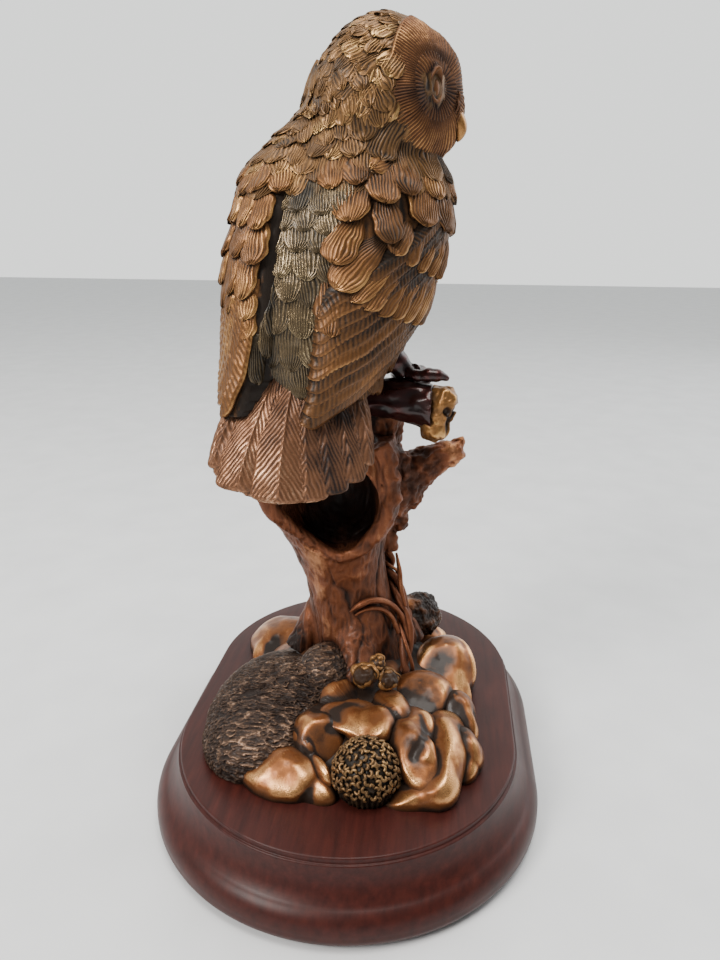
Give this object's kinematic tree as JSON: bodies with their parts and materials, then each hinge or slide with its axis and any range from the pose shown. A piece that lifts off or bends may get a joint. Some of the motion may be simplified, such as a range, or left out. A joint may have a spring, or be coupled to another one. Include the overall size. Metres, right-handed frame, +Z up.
{
  "type": "owl figurine",
  "caption": "Copper-finished cast owl perched on a hollow tree stump with rocks and moss, on an oval moulded wooden plinth.",
  "frame": {"origin": "middle of the resting face, on the underside of the baize pad", "axes": "+Z up, +X along the plinth's long axis, -Y the front, where the owl's face looks"},
  "size_m": [0.1602, 0.1202, 0.226],
  "materials": {
    "mahogany": "satin stained and lacquered wood",
    "baize": "short green felt",
    "steel": "plain zinc-plated steel",
    "copper_feather": "cold-cast resin, antiqued copper, rubbed on the ridges, dark in the recesses",
    "copper_face": "cold-cast resin, red-brown antiqued copper",
    "gilt": "cold-cast resin, rubbed gold-copper",
    "copper_bark": "cold-cast resin, red-brown antiqued copper with bark grain",
    "copper_stone": "cold-cast resin, smooth polished copper with dark crevices",
    "dark_moss": "cold-cast resin, dark brown patina, combed like moss"
  },
  "bodies": {
    "root": {"back_boulder": "copper_stone", "back_right_boulder": "copper_stone", "baize_pad": "baize", "beak": "gilt", "branch_burl": "gilt", "broken_limb": "copper_bark", "centre_boulder": "copper_stone", "cup_fungi": "gilt", "eyes": "gilt", "facial_disc": "copper_face", "far_left_boulder": "copper_stone", "far_right_boulder": "copper_stone", "fixing_screws": "steel", "fork_limb": "copper_bark", "ground_casting": "dark_moss", "ivy_stem": "copper_bark", "left_foot": "copper_bark", "left_wing": "copper_feather", "middle_right_boulder": "copper_stone", "moss_mound": "dark_moss", "near_left_boulder": "copper_stone", "near_right_boulder": "copper_stone", "owl_body": "copper_feather", "owl_head": "copper_feather", "perch_branch": "copper_bark", "perch_pins": "steel", "pine_cone": "dark_moss", "plinth": "mahogany", "rear_cone": "dark_moss", "right_boulder": "copper_stone", "right_foot": "copper_bark", "right_wing": "copper_feather", "screw_washers": "steel", "stump": "copper_bark", "stump_rod": "steel", "tail": "copper_feather"}
  },
  "joints": []
}
